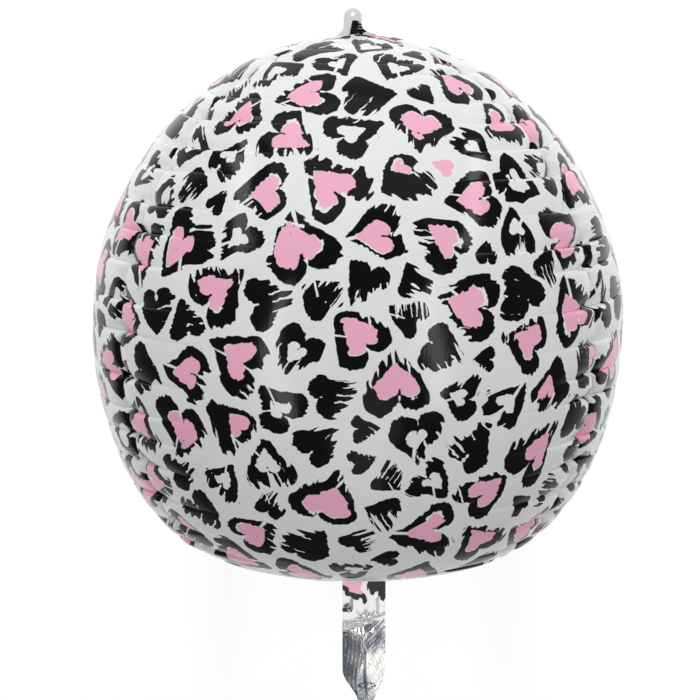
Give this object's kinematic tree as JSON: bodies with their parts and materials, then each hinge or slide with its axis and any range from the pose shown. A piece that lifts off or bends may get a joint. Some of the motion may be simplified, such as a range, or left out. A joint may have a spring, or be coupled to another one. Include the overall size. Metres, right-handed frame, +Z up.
{
  "type": "sphere foil balloon",
  "caption": "Inflated sphere-shaped foil balloon of four heat-sealed panels, with a heart leopard print, a hanging tab and a flat filling neck.",
  "frame": {"origin": "on the floor under the middle of the balloon's length and width, the balloon lying on the flat spot of its back panel", "axes": "+Y from the filling neck to the hanging tab along the poles' axis, +Z up through the front panel, +X to the right of someone looking at the front panel with the tab at the top"},
  "size_m": [0.5553, 0.745, 0.5519],
  "materials": {
    "printed_foil": "glossy white printed polyester foil with a leopard print of hearts in black and pink",
    "bare_foil": "crinkled mirror-bright metallised foil, printed white at its upper end"
  },
  "bodies": {
    "root": {"front_panel": "printed_foil", "back_panel": "printed_foil", "left_side_panel": "printed_foil", "right_side_panel": "printed_foil", "hanging_tab": "printed_foil", "filling_neck": "bare_foil"}
  },
  "joints": []
}
